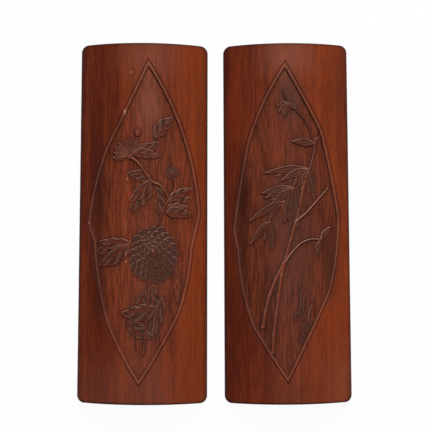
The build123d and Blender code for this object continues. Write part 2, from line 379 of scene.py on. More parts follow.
def bowed_run(base: Array, tip: Array, bow: float, count: int) -> Array:
    """A line from base to tip that bows sideways by a half wave of a sine, with eased steps.

    Args:
        base: where it starts.
        tip: where it ends.
        bow: how far its middle lies to the left of the straight line.
        count: number of points.

    Returns:
        The points of the line.
    """
    run = tip - base
    left = np.array((-run[1], run[0])) / max(float(np.hypot(*run)), 1e-6)
    t = eased(count)[:, None]
    return base + t * run + bow * np.sin(pi * t) * left


@dataclass
class Ribbon:
    """A raised shape along a line: a leaf, a petal, a stalk or a mound.

    At each point of the line the top spans its width to each side, with the heights that are given for shares u
    of the width from 1 on the left to -1 on the right. Its walls lean out a little on their way down to the root.

    Attributes:
        line: points in the picture's frame.
        widths: to the left and to the right of each point of the line.
        heights: over the skin, one row for each point of the line and one column for each u.
        across: the shares u, from 1 to -1.
        wear_and_highlight: rubbed wear and painted highlight, as the heights.
        grime_and_shade: dirt and painted shade, as the heights.
        kind: what the finish takes it for: 2 for the drawing's relief, 3 for the darker blossom.
    """

    line: Array
    widths: Array
    heights: Array
    across: Array
    wear_and_highlight: Array
    grime_and_shade: Array
    kind: float = 2.0
    draft: float = 0.12

    def shell(self) -> Shell:
        """The ribbon as a closed shell, flat in the picture's frame."""
        ahead = headings(self.line)
        left = np.column_stack((-ahead[:, 1], ahead[:, 0]))
        widths = np.maximum(self.widths, 0.04)
        outer = widths + self.draft
        spread = np.hstack((outer[:, :1], of_each_side(widths, self.across) * self.across, -outer[:, 1:]))
        root = np.full((len(self.line), 1), ROOT)
        heights = np.hstack((root, self.heights, root))
        flat = self.line[:, None] + left[:, None] * spread[..., None]
        points = np.dstack((flat, heights)).reshape(-1, 3)
        quads, ends = skin_of_loops(len(self.line), spread.shape[1])
        foot = np.ones_like(root)
        wear_and_highlight = np.hstack((0 * foot, self.wear_and_highlight, 0 * foot)).ravel()
        # The walls down to the root are darkened in full: dirt and painted shade at the foot of the relief.
        grime_and_shade = np.hstack((foot, self.grime_and_shade, foot)).ravel()
        return Shell(points, quads, ends, wear_and_highlight, grime_and_shade, np.full(len(points), self.kind))

    def edge(self) -> Array:
        """Points along both edges of the ribbon, for the dirt and painted shade that lie against it."""
        ahead = headings(self.line)
        left = np.column_stack((-ahead[:, 1], ahead[:, 0]))
        return np.vstack((self.line + left * self.widths[:, :1], self.line - left * self.widths[:, 1:]))


def spread_across(count: int) -> Array:
    """Shares across a ribbon from 1 to -1 that lie closer at its edges, by a quarter wave of a sine."""
    s = np.linspace(1, -1, count)
    return 0.55 * s + 0.45 * np.sin(s * pi / 2)


def headings(line: Array) -> Array:
    """The direction of a line at each of its points, one unit long."""
    ahead = np.gradient(line, axis=0)
    return ahead / np.hypot(*ahead.T)[:, None]


def along(line: Array) -> Array:
    """The length of a line up to each of its points."""
    return np.concatenate(([0], np.cumsum(np.hypot(*np.diff(line, axis=0).T))))


def of_each_side(widths: Array, u: Array) -> Array:
    """The width that counts at each share across: the left one above zero, the right one below."""
    return np.where(u >= 0, widths[:, :1], widths[:, 1:])


def highlight_facing(line: Array, u: Array, round_tip: float) -> Array:
    """How far the rim of a blade faces the painted light: towards the head and a little to the left.

    Outwards is sideways, and turns to straight ahead over the length of the round tip. The result is broken up
    by a slow unevenness, so that no rim is bright all along.

    Args:
        line: points from base to tip.
        u: shares across the blade, from 1 to -1.
        round_tip: length of the tip.

    Returns:
        A value from -1 to 1 for each point and share: above zero it sets a painted highlight, below zero painted
        shade.
    """
    reach = along(line)
    ahead = headings(line)
    left = np.column_stack((-ahead[:, 1], ahead[:, 0]))
    forward = np.clip(1 - (reach[-1] - reach) / round_tip, 0, 1)[:, None] * np.sqrt(1 - u**2)
    sideways = np.sign(u) * np.sqrt(1 - forward**2)
    facing = sideways * (left @ HIGHLIGHT_FROM)[:, None] + forward * (ahead @ HIGHLIGHT_FROM)[:, None]
    x, y = (line[:, k, None] + 2 * u * left[:, k, None] for k in (0, 1))
    return facing * (0.8 + 0.2 * unevenness(x, y, 5.0, 3))


@dataclass(frozen=True)
class Hollowed:
    """How a leaf or a petal is cut: a raised rim round a hollow, with or without veins.

    Attributes:
        rim: height of the rim at the base and at the tip, over the skin.
        hollow: how far the middle lies below the rim.
        rim_width: width of the rim in millimetres.
        vein: height of the middle vein over the hollow, below zero for a cut line.
        side_veins: how many veins leave it on each side.
        streaks: how many fine lines run along each side.
        dark: how much darker the hollow is.
        bright: how light the painted highlights on its rims are.
        warm: how red the flanks of its middle are.
        kind: what the finish takes it for.
    """

    rim: Point = (-0.6, -1.1)
    hollow: float = 0.45
    rim_width: float = 0.5
    vein: float = 0.0
    side_veins: int = 0
    streaks: int = 0
    dark: float = 0.3
    bright: float = 1.0
    warm: float = 0.0
    kind: float = 2.0

    def cut(self, line: Array, widths: Array, columns: int = 15) -> Ribbon:
        """Cuts a leaf or a petal along a line.

        The distance to the outline is the shorter of the way to the side and the way to the tip. The height is
        the rim's, less a rounding over the outer part of the rim, less the hollow beyond the rim, which deepens
        by a smooth step and shallows out where the blade is narrow. The side veins are a cosine of the length
        less the share across, so that they lean towards the tip, and the streaks are a cosine of the share across
        alone. Rims that face the painted light get a painted highlight with a line of painted shade inside it, and
        rims that face away are painted warm red as shade.

        Args:
            line: points from base to tip.
            widths: to each side of each point, or one for both.
            columns: points across.

        Returns:
            The ribbon.
        """
        u = spread_across(columns)
        widths = widths if widths.ndim == 2 else np.column_stack((widths, widths))
        width = of_each_side(widths, u)
        reach = along(line)
        t = (reach / reach[-1])[:, None]
        inward = np.minimum(width * (1 - np.abs(u)), (reach[-1] - reach)[:, None])
        rounding = 0.3 * np.clip(1 - inward / (self.rim_width / 2), 0, 1) ** 2
        step = np.clip((inward - self.rim_width * 0.5) / self.rim_width, 0, 1)
        bed = step * step * (3 - 2 * step) * np.clip(width / (2.2 * self.rim_width), 0, 1)
        vein = self.vein * np.exp(-((u * width / 0.3) ** 2)) * bed
        side_vein = np.cos(2 * pi * (self.side_veins * t - 0.9 * np.abs(u))) * bed * (self.side_veins > 0)
        side_vein = side_vein + np.cos(2 * pi * self.streaks * u) * bed * (self.streaks > 0)
        height = self.rim[0] + (self.rim[1] - self.rim[0]) * t - rounding - self.hollow * bed + vein
        # Painted highlight on rims that face the painted light, and painted shade in warm red on rims that face away.
        rim = np.exp(-(((inward - self.rim_width * 0.3) / (self.rim_width * 0.5)) ** 2))
        facing = highlight_facing(line, u, float(widths.max()))
        wear_and_highlight = rim * np.where(facing > 0, self.bright * facing, 0.9 * facing)
        wear_and_highlight = wear_and_highlight + np.clip(vein / 0.5, 0, 0.35) + 0.2 * np.clip(side_vein, 0, 1)
        wear_and_highlight = wear_and_highlight - self.warm * bed * np.exp(-(((u + 0.3) / 0.3) ** 2))
        # Painted shade in a line inside each highlighted rim; the hollow and the troughs between side veins are
        # darker too.
        shade = np.exp(-(((inward - 1.1 * self.rim_width) / (0.6 * self.rim_width)) ** 2)) * np.clip(facing, 0, 1)
        grime_and_shade = bed * self.dark + 0.65 * shade + 0.25 * np.clip(-side_vein, 0, 1)
        height = height + 0.08 * side_vein
        return Ribbon(line, widths, height, u, np.clip(wear_and_highlight, -1, 1), np.clip(grime_and_shade, 0, 1), self.kind)


@dataclass(frozen=True)
class Rounded:
    """How a stalk, a bud or a mound is cut: round across its whole width.

    Attributes:
        foot: height of its edges over the skin.
        bulge: how far its middle stands over them.
        groove: depth of the line that follows each edge, at two thirds of its width.
        bright: how light the painted highlight on its lit side is.
        warm: how red its other side is.
    """

    foot: float = -1.1
    bulge: float = 0.6
    groove: float = 0.0
    bright: float = 0.9
    warm: float = 0.5

    def cut(self, line: Array, half_width: Array, columns: int = 11, taper: bool = False) -> Ribbon:
        """Cuts a round shape along a line: height is foot plus bulge times the root of one less u squared.

        Args:
            line: points along its middle.
            half_width: at each point.
            columns: points across.
            taper: True to let the bulge follow the half width, for domes and pointed ends.

        Returns:
            The ribbon.
        """
        u = spread_across(columns)
        share = (half_width / half_width.max())[:, None] if taper else np.ones((len(line), 1))
        arch = np.sqrt(np.clip(1 - u**2, 0, 1)) * share
        line_cut = self.groove * np.exp(-(((np.abs(u) - 0.66) / 0.14) ** 2))
        facing = highlight_facing(line, u, float(half_width.max()))
        side = np.exp(-(((np.abs(u) - 0.42) / 0.25) ** 2)) * share
        # Painted highlight along the side that faces the painted light.
        wear_and_highlight = side * np.where(facing > 0, self.bright * facing, 0.0) - line_cut
        wear_and_highlight = wear_and_highlight - self.warm * np.exp(-(((u + 0.25) / 0.35) ** 2))
        # Dirt and painted shade: darker towards both edges of the round, in the grooves, and on the side away from
        # the painted light.
        grime_and_shade = np.clip(1 - arch * 1.3, 0, 1) * 0.7 + 2 * line_cut + 0.3 * side * np.clip(-facing, 0, 1)
        widths = np.column_stack((half_width, half_width))
        return Ribbon(line, widths, self.foot + self.bulge * arch - line_cut, u, np.clip(wear_and_highlight, -1, 1),
                      np.clip(grime_and_shade, 0, 1))


def leaf_width(t: Array, widest: float, at: float = 0.35) -> Array:
    """Half width of a slender leaf: it swells by a root to its widest place and runs out to a sharp tip."""
    return widest * np.where(t < at, (np.clip(t, 0, 1) / at) ** 0.6, 1 - (np.clip(t - at, 0, 1) / (1 - at)) ** 1.5)


def lobed_widths(t: Array, widest: float, lobes: int, seed: int) -> Array:
    """Widths of a lobed leaf to the left and to the right.

    A half wave of a sine, fullest a little before the middle, is drawn in between rounded lobes. Each lobe is a
    half wave of a cosine, and the two sides are out of step by a seeded share of a lobe.

    Args:
        t: shares from base to tip.
        widest: half width at the widest lobe.
        lobes: how many along each side.
        seed: which steps.

    Returns:
        Two columns of widths.
    """
    steps = np.random.default_rng(seed).uniform(0.0, 0.5, 2)
    full = np.sin(pi * np.clip(t, 0, 1) ** 0.85) ** 0.75
    sides = [full * (0.68 + 0.32 * np.abs(np.cos(pi * (lobes * t + step))) ** 0.7) for step in steps]
    return widest * (np.column_stack(sides) + 0.12 * (1 - t)[:, None])


def petal_width(t: Array, widest: float, neck: float = 0.55) -> Array:
    """Half width of a petal: straight sides from its neck, and a round tip over the outer half."""
    past = np.clip((t - 0.5) / 0.5, 0, 1)
    return widest * (neck + (1 - neck) * np.clip(t / 0.5, 0, 1)) * np.sqrt(1 - past**2)


def dome(centre: Array, radius: float, cut: Rounded, stretch: float = 1.0, heading: float = 90.0) -> Ribbon:
    """A round mound or bud: a ribbon whose half width is that of a circle, stretched along its line.

    Args:
        centre: its middle in the picture's frame.
        radius: its half width.
        cut: how it is rounded.
        stretch: half length over half width.
        heading: degrees from X that its length points.

    Returns:
        The ribbon.
    """
    t = eased(21) * 2 - 1
    ahead = np.array((cos(radians(heading)), sin(radians(heading))))
    return cut.cut(centre + t[:, None] * radius * stretch * ahead, radius * np.sqrt(1 - t**2), taper=True)


# ---------------------------------------------------------------------------------------------------------------
# Finishes
# ---------------------------------------------------------------------------------------------------------------


def linear(red: int, green: int, blue: int) -> tuple[float, float, float, float]:
    """A screen colour of 0 to 255 as a linear colour with full alpha."""
    shares = (np.array((red, green, blue)) / 255 + 0.055) / 1.055
    return (*(float(v) for v in np.where(shares <= 0.0905, shares * 1.055 / 12.92, shares**2.4)), 1.0)


class Bench:
    """Puts together the nodes of one material."""

    def __init__(self, name: str) -> None:
        """Starts an empty material of that name."""
        self.material = bpy.data.materials.new(name)
        self.material.use_nodes = True
        self.nodes = self.material.node_tree.nodes
        self.links = self.material.node_tree.links
        self.nodes.clear()

    def add(self, kind: str, **settings: object) -> bpy.types.Node:
        """Adds a node and sets its properties."""
        node = self.nodes.new(kind)
        for name, value in settings.items():
            setattr(node, name, value)
        return node

    def plug(self, value: object, socket: bpy.types.NodeSocket) -> None:
        """Links a socket, or sets a plain value on it."""
        if isinstance(value, bpy.types.NodeSocket):
            self.links.new(value, socket)
        else:
            socket.default_value = value

    def attribute(self, name: str) -> bpy.types.NodeSocket:
        """A number stored at each point of the mesh."""
        return self.add("ShaderNodeAttribute", attribute_name=name).outputs["Fac"]

    def sum(self, operation: str, *numbers: object) -> bpy.types.NodeSocket:
        """The result of a Math node on two or three numbers."""
        node = self.add("ShaderNodeMath", operation=operation)
        for number, socket in zip(numbers, node.inputs):
            self.plug(number, socket)
        return node.outputs[0]

    def weighed(self, *parts: tuple[object, float], less: float = 0.0) -> bpy.types.NodeSocket:
        """The sum of numbers times their weights, less a fixed number."""
        total: object = -less
        for value, weight in parts:
            total = self.sum("MULTIPLY_ADD", value, weight, total)
        return total

    def between(self, value: object, low: float, high: float) -> bpy.types.NodeSocket:
        """0 below low, 1 above high, and a smooth step between them."""
        node = self.add("ShaderNodeMapRange", interpolation_type="SMOOTHSTEP")
        self.plug(value, node.inputs["Value"])
        node.inputs["From Min"].default_value = low
        node.inputs["From Max"].default_value = high
        return node.outputs[0]

    def blend(self, share: object, first: object, second: object, kind: str = "MIX") -> bpy.types.NodeSocket:
        """Mixes two colours by a share."""
        node = self.add("ShaderNodeMix", data_type="RGBA", blend_type=kind)
        self.plug(share, node.inputs["Factor"])
        self.plug(first, node.inputs[6])
        self.plug(second, node.inputs[7])
        return node.outputs[2]

    def spot(self, place: bpy.types.NodeSocket, at: Point, reach: Point) -> bpy.types.NodeSocket:
        """A soft oval seen from above: one at its middle, falling by a smooth step to zero at its reach.

        Args:
            place: the Object coordinates.
            at: its middle, in metres.
            reach: its half width and half length, in metres.

        Returns:
            A number from 0 to 1.
        """
        shift = self.add("ShaderNodeVectorMath", operation="SUBTRACT")
        self.plug(place, shift.inputs[0])
        shift.inputs[1].default_value = (*at, 0.0)
        scale = self.add("ShaderNodeVectorMath", operation="MULTIPLY")
        self.plug(shift.outputs[0], scale.inputs[0])
        scale.inputs[1].default_value = (1 / reach[0], 1 / reach[1], 0.0)
        length = self.add("ShaderNodeVectorMath", operation="LENGTH")
        self.plug(scale.outputs[0], length.inputs[0])
        return self.sum("SUBTRACT", 1.0, self.between(length.outputs["Value"], 0.0, 1.0))

    def grain(self, across: float, along: float, detail: float = 2.0, seed: float = 0.0) -> bpy.types.NodeSocket:
        """Noise drawn out along the fibres.

        Args:
            across: usual width of a streak, in millimetres.
            along: usual length of a streak, in millimetres.
            detail: how many finer layers it has.
            seed: a shift along the fibres in metres, for another pattern.

        Returns:
            A number about 0.5.
        """
        place = self.add("ShaderNodeTexCoord").outputs["Object"]
        mapping = self.add("ShaderNodeMapping")
        self.plug(place, mapping.inputs["Vector"])
        mapping.inputs["Location"].default_value = (seed, seed * 3.7, seed * 1.9)
        mapping.inputs["Scale"].default_value = (1000 / across, 1000 / along, 1000 / across)
        noise = self.add("ShaderNodeTexNoise")
        self.plug(mapping.outputs[0], noise.inputs["Vector"])
        noise.inputs["Scale"].default_value = 1.0
        noise.inputs["Detail"].default_value = detail
        noise.inputs["Roughness"].default_value = 0.55
        return noise.outputs["Fac"]


@dataclass(frozen=True)
class Spot:
    """A place of a rest with a colour laid over it, such as a dark band, a painted sheen, a scratch or a chip.

    Attributes:
        at: its middle in shares of the picture's half width and half length.
        reach: its half width and half length in millimetres.
        colour: on the screen, from 0 to 255.
        strength: how much of that colour its middle takes.
        broken: True to break it up along its length, as a crack's bright edges are.
    """

    at: Point
    reach: Point
    colour: tuple[int, int, int]
    strength: float
    broken: bool = False


@dataclass(frozen=True)
class Patina:
    """The finish of one rest: bamboo gone red-brown, waxed by handling, with dirt and painted shade in the carving
    and painted highlights on its rims.

    Attributes:
        name: the material's name.
        seed: which streaks it gets.
        left_edge: X of the rest's left edge in metres.
        right_edge: X of its right edge.
        deep: the dark red of the skin.
        warm: the orange-brown of the skin.
        ground_dark: dark streaks of the sunk ground.
        ground_light: light streaks of the sunk ground.
        leaf: the grey-brown of the relief.
        blossom: the darker grey-brown of the open blossom.
        rubbed_and_highlight: the light brown of rubbed rims and of painted highlights.
        red: the warm red of flanks left unrubbed, also painted as shade on rims that face away from the painted
            light.
        dirt_and_shade: the dark of dirt in crevices and of painted shade.
    """

    name: str
    seed: float
    left_edge: float
    right_edge: float
    deep: tuple[int, int, int] = (82, 30, 6)
    warm: tuple[int, int, int] = (131, 56, 25)
    ground_dark: tuple[int, int, int] = (62, 26, 13)
    ground_light: tuple[int, int, int] = (136, 62, 36)
    leaf: tuple[int, int, int] = (86, 54, 40)
    blossom: tuple[int, int, int] = (76, 48, 38)
    rubbed_and_highlight: tuple[int, int, int] = (200, 150, 128)
    red: tuple[int, int, int] = (152, 60, 26)
    dirt_and_shade: tuple[int, int, int] = (40, 20, 10)

    def material(self, spots: Sequence[tuple[Spot, Point]]) -> bpy.types.Material:
        """Builds the material.

        Args:
            spots: each spot with its middle in metres.

        Returns:
            Streaks of two browns on the skin, lighter and warmer towards its right partly as painted light, darker
            streaks on the ground and grey-brown on the relief, with the spots, one of them a painted sheen, the dirt
            and painted shade, and the rims' wear and painted highlights over them, and fine fibres in the bump.
        """
        bench = Bench(self.name)
        place = bench.add("ShaderNodeTexCoord").outputs["Object"]
        fine = bench.between(bench.grain(0.8, 14.0, 2.0, self.seed), 0.3, 0.7)
        band = bench.grain(5.5, 220.0, 3.0, self.seed + 1)
        patch = bench.grain(26.0, 110.0, 2.0, self.seed + 2)
        speck = bench.grain(0.9, 0.9, 2.0, self.seed + 3)
        across = bench.add("ShaderNodeSeparateXYZ")
        bench.plug(place, across.inputs[0])
        # Painted light with the bamboo's own tone: the skin turns lighter and warmer towards the right of each rest.
        tone_and_light_rightward = bench.between(across.outputs["X"], self.left_edge, self.right_edge)
        tone = bench.weighed((fine, 0.2), (band, 0.6), (patch, 0.4), (tone_and_light_rightward, 0.26), less=0.23)
        skin = bench.blend(bench.between(tone, 0.2, 0.8), linear(*self.deep), linear(*self.warm))
        floor_tone = bench.weighed((fine, 0.32), (band, 0.3), (patch, 0.3), (speck, 0.5), less=0.21)
        ground = bench.blend(
            bench.between(floor_tone, 0.15, 0.85), linear(*self.ground_dark), linear(*self.ground_light)
        )
        sunk, grime_and_shade, wear_and_highlight = (bench.attribute(mark) for mark in ("sunk", "grime_and_shade", "wear_and_highlight"))
        colour = bench.blend(bench.between(sunk, 0.1, 0.9), skin, ground)
        relief = bench.blend(bench.between(floor_tone, 0.0, 1.0), linear(*self.leaf), ground)
        colour = bench.blend(bench.between(sunk, 1.1, 1.9), colour, relief)
        petals = bench.blend(bench.between(floor_tone, 0.2, 1.4), linear(*self.blossom), ground)
        colour = bench.blend(bench.between(sunk, 2.1, 2.9), colour, petals)
        for spot, middle in spots:
            share = bench.spot(place, middle, (spot.reach[0] * MILLIMETRE, spot.reach[1] * MILLIMETRE))
            if spot.broken:
                share = bench.sum("MULTIPLY", share, bench.between(bench.grain(1.5, 1.2, 1.0), 0.45, 0.6))
            colour = bench.blend(bench.sum("MULTIPLY", share, spot.strength), colour, linear(*spot.colour))
        # Warm red on unrubbed flanks, and painted shade in red on rims that face away from the painted light.
        colour = bench.blend(bench.sum("MULTIPLY", wear_and_highlight, -1.0), colour, linear(*self.red))
        # Rubbed wear and painted highlights in light brown.
        rub_and_highlight = bench.sum("MULTIPLY", wear_and_highlight, bench.between(speck, 0.0, 0.5))
        colour = bench.blend(rub_and_highlight, colour, linear(*self.rubbed_and_highlight))
        # Dirt and painted shade in dark brown.
        soil_and_shade = bench.sum("MULTIPLY", grime_and_shade, bench.between(speck, 0.0, 0.5))
        colour = bench.blend(soil_and_shade, colour, linear(*self.dirt_and_shade))
        shader = bench.add("ShaderNodeBsdfPrincipled")
        bench.plug(colour, shader.inputs["Base Color"])
        rough = bench.add("ShaderNodeMapRange")
        bench.plug(bench.weighed((fine, 0.3), (sunk, 0.3)), rough.inputs["Value"])
        rough.inputs["To Min"].default_value = 0.4
        rough.inputs["To Max"].default_value = 0.65
        bench.plug(rough.outputs[0], shader.inputs["Roughness"])
        shader.inputs["Specular IOR Level"].default_value = 0.08
        bump = bench.add("ShaderNodeBump")
        bump.inputs["Strength"].default_value = 0.4
        bump.inputs["Distance"].default_value = 0.00012
        rise = bench.sum("ADD", fine, bench.sum("MULTIPLY", bench.sum("MULTIPLY", speck, sunk), 0.6))
        bench.plug(rise, bump.inputs["Height"])
        bench.plug(bump.outputs[0], shader.inputs["Normal"])
        output = bench.add("ShaderNodeOutputMaterial")
        bench.plug(shader.outputs[0], output.inputs["Surface"])
        return bench.material


# ---------------------------------------------------------------------------------------------------------------
# The carved slip
# ---------------------------------------------------------------------------------------------------------------

# The border of a picture: distance inside its outline, and height over the skin. Cut line, ridge, wall, ground.
BORDER = np.array(
    [(-0.1, 0.0), (0.1, -0.04), (0.25, -0.24), (0.38, -0.39), (0.5, -0.43), (0.62, -0.39), (0.75, -0.24),
     (0.9, -0.06), (1.05, -0.02), (1.5, 0.0), (2.0, 0.0), (2.3, -0.02), (2.5, -0.06), (2.65, -0.16),
     (2.8, -0.5), (2.95, -0.9), (3.12, -1.3), (3.35, GROUND)]
)


@dataclass
class CarvedSlip:
    """The slip with its sunk picture, as one closed surface.

    A row of points goes round the slip's cross-section at each of many places along it. Over the round face the
    points keep to the picture's border, so that its cut line and ridge are crisp.

    Attributes:
        slip: the plain slip.
        picture: what is sunk in it.
        against: places in the picture's frame where the relief's edges meet the ground.
    """

    slip: Slip
    picture: Picture
    against: Array
    seed: int
    rows: int = 392
    ground_columns: int = 72
    surround_columns: int = 13

    def stations(self) -> Array:
        """Places along the slip: even steps that close up at the picture's points, and a fan at each corner."""
        end, arc = self.slip.length / 2, self.slip.corner_radius
        fan = arc * (1 - np.cos(np.linspace(0, pi / 2, 15)))
        y = np.linspace(arc - end, end - arc, 4001)
        tip = self.picture.half_length
        crowd = 1 + sum(1.6 * np.exp(-(((y - self.picture.rise - at) / 3) ** 2)) for at in (tip, -tip))
        filled = np.cumsum(crowd)
        inner = np.interp(np.linspace(filled[0], filled[-1], self.rows), filled, y)
        return np.concatenate((fan[:-1] - end, inner, (end - fan[:-1])[::-1]))

    def columns(self, y: Array) -> Array:
        """Places across the round face for each station, from the left rim to the right.

        From the picture's axis outwards: even ground columns, the border's own distances divided by the cosine
        of the outline's slope, even surround columns, and the rim's rounding. Near and beyond the picture's
        points, where the border would cross itself, a soft maximum keeps the columns apart.

        Args:
            y: stations along the slip.

        Returns:
            One row of places for each station.
        """
        left, right = (self.picture.on_slip(side) for side in self.picture.flanks())
        halves = [(-1.0, np.interp(y, left[:, 1], left[:, 0])), (1.0, np.interp(y, right[:, 1], right[:, 0]))]
        axis = np.interp(y, right[[0, -1], 1], right[[0, -1], 0])
        parts = []
        steps = BORDER[:, 0]
        floor_share = np.linspace(0, 1, self.ground_columns // 2 + 1)
        for sign, edge in halves:
            reach = np.maximum((edge - axis) * sign, 0)
            slope = np.gradient(edge, y)
            wanted = reach[:, None] - steps * np.sqrt(1 + slope**2)[:, None]
            least = 0.7 + (steps[-1] - steps) * 0.6
            kept = least + 0.25 * np.logaddexp(0, (wanted - least) / 0.25)
            ground = kept[:, -1:] * floor_share[:-1]
            rim = self.slip.half_width(y)[:, None] - self.slip.rim_radius * (1 - np.sin(np.linspace(0, pi / 2, 7)))
            inner = (rim[:, :1] - axis[:, None] * sign - kept[:, :1]) * np.linspace(0, 1, self.surround_columns)[1:-1]
            outward = np.hstack((ground, kept[:, ::-1], kept[:, :1] + inner))
            parts.append(np.hstack((axis[:, None] + sign * outward, sign * rim)))
        left, right = parts
        return np.hstack((left[:, :0:-1], right))

    def shell(self) -> Shell:
        """The whole slip as a closed shell in the slip's own frame.

        Height over the skin is the border's profile at the distance inside the picture's outline, with a slight
        unevenness on the ground. The rim falls away by a quarter circle. Below the rim come the upright edge, a
        small bevel, the sole, and the hollow, which is an arc about the culm's axis.

        Returns:
            The shell, wrapped but not laid down.
        """
        slip, picture = self.slip, self.picture
        y = self.stations()
        x = self.columns(y)
        along = np.repeat(y[:, None], x.shape[1], 1)
        flat = np.column_stack((x.ravel(), along.ravel()))
        in_picture = picture.off_slip(flat)
        inside = picture.inside(in_picture)
        height = np.interp(inside, BORDER[:, 0], BORDER[:, 1])
        floor = np.clip((inside - 2.6) / 0.5, 0, 1)
        sunk = 0.5 * floor + 0.5 * np.clip((inside - 0.2) / 0.4, 0, 1)
        rough = unevenness(flat[:, 0], flat[:, 1] / 2, 4.5, self.seed)
        height += floor * 0.06 * rough - (1 - floor) * 0.03 * (1 + unevenness(*flat.T, 21.0, self.seed + 1))
        wrapped = slip.wrap(np.column_stack((flat, height)))
        edge = slip.from_edge(*flat.T)
        wrapped[:, 2] -= slip.rim_drop(np.maximum(edge, 0))
        face = wrapped.reshape(*x.shape, 3)
        near = self.nearness(in_picture, inside > 2.9)
        # Dirt and painted shade: darker in the cut line, at the foot of the border's wall, beside the relief's edges
        # and over the slip's rounded rim.
        cut = np.exp(-(((inside - 0.5) / 0.34) ** 2))
        corner = np.exp(-(np.clip(np.abs(inside - 3.0), 0, None) / 0.7)) * (inside > 2.6)
        grime_and_shade = np.clip(0.75 * cut + 0.5 * corner + 0.65 * near, 0, 1)
        grime_and_shade = np.maximum(grime_and_shade, 0.95 * np.exp(-((edge / 1.2) ** 2)))
        # The border's ridge is lighter on top: wear and painted highlight.
        wear_and_highlight = 0.12 * np.exp(-(((inside - 2.2) / 0.5) ** 2))
        marks = [mark.reshape(x.shape) for mark in (wear_and_highlight, grime_and_shade, sunk)]
        return self.closed(y, face, marks)

    def nearness(self, points: Array, wanted: Array) -> Array:
        """How near the relief's edges are: one at an edge, falling off over about a millimetre.

        Args:
            points: places in the picture's frame.
            wanted: which of them lie on the ground.

        Returns:
            A value from 0 to 1 for each point, and 0 where none is wanted.
        """
        near = np.zeros(len(points))
        chosen = np.flatnonzero(wanted)
        against = self.against.astype(np.float32)
        for chunk in np.array_split(chosen, max(1, len(chosen) // 1500)):
            gap = points[chunk, None].astype(np.float32) - against
            near[chunk] = np.exp(-np.sqrt((gap**2).sum(2).min(1)) / 1.2)
        return near

    def closed(self, y: Array, face: Array, marks: list[Array]) -> Shell:
        """Adds the edges, the sole and the hollow to the round face.

        Args:
            y: stations.
            face: points of the round face, by station and column.
            marks: wear_and_highlight, grime_and_shade and sunk at the same points.

        Returns:
            The closed shell.
        """
        slip = self.slip
        half = slip.half_width(y)
        bevel = slip.sole_bevel
        from_end = slip.length / 2 - np.abs(y)
        inner = slip.culm_radius - slip.wall + np.clip(slip.hollow_bevel - from_end, 0, None)
        foot = np.sqrt(inner**2 - slip.axis_height**2)
        middle_height = (face[:, -1, 2] + bevel) / 2
        right = np.stack(
            [np.stack((half, y, middle_height), 1), np.stack((half, y, 0 * y + bevel), 1),
             np.stack((half - bevel, y, 0 * y), 1), np.stack(((half - bevel + foot) / 2, y, 0 * y), 1)], axis=1
        )
        angle = np.arcsin(foot / inner)[:, None] * np.linspace(1, -1, 31)
        hollow = np.dstack(
            (inner[:, None] * np.sin(angle), np.repeat(y[:, None], 31, 1),
             slip.axis_height + inner[:, None] * np.cos(angle))
        )
        hollow[:, (0, -1), 2] = 0.0
        left = right[:, ::-1] * (-1, 1, 1)
        loops = np.concatenate((face, right, hollow, left), axis=1)
        extra = loops.shape[1] - face.shape[1]
        fill = (0.1, 0.45, 0.0)
        wear_and_highlight, grime_and_shade, sunk = (
            np.hstack((mark, np.full((len(y), extra), value))).ravel() for mark, value in zip(marks, fill)
        )
        quads, ends = skin_of_loops(len(y), loops.shape[1])
        return Shell(loops.reshape(-1, 3), quads, ends, wear_and_highlight, grime_and_shade, sunk)


# ---------------------------------------------------------------------------------------------------------------
# The two rests
# ---------------------------------------------------------------------------------------------------------------


@dataclass
class Rest:
    """One carved wrist rest: its slip, its picture and its relief.

    Attributes:
        node: the CAD node that it stands for.
        body: the body that it rides on.
        slot: the record's material slot; not used.
        title: the beginning of its pieces' names.
    """

    node: str
    body: str
    slot: str
    title: str
    slip: Slip
    picture: Picture
    patina: Patina
    seed: int
    spots: tuple[Spot, ...] = ()

    def relief(self) -> dict[str, list[Ribbon]]:
        """The relief by the name of its piece."""
        raise NotImplementedError

    def build(self) -> list[bpy.types.Object]:
        """Builds the rest's pieces, dresses them and lets them ride on its body.

        Returns:
            The pieces, the slip first.
        """
        flat = self.picture.on_slip(np.array([self.picture.point(spot.at) for spot in self.spots]))
        places = self.slip.lay_down(np.column_stack((flat, np.zeros(len(flat)))))
        finish = self.patina.material([(spot, (x, y)) for spot, (x, y, _) in zip(self.spots, places.tolist())])
        relief = self.relief()
        against = np.vstack([ribbon.edge() for ribbons in relief.values() for ribbon in ribbons])
        shell = CarvedSlip(self.slip, self.picture, against, self.seed).shell()
        shell.points = self.slip.lay_down(shell.points)
        pieces = [shell.mesh(f"{self.title}_slip")]
        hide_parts(self.node)
        for name, ribbons in relief.items():
            shell = Shell.joined([ribbon.shell() for ribbon in ribbons])
            shell.points = self.slip.lay_down(self.slip.wrap(self.picture.on_slip(shell.points)))
            pieces.append(shell.mesh(f"{self.title}_{name}", crease=65.0))
        for piece in pieces:
            piece.data.materials.append(finish)
            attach(piece, self.body)
            triangles = sum(len(face.vertices) - 2 for face in piece.data.polygons)
            log.info("%s: %d triangles", piece.name, triangles)
        return pieces


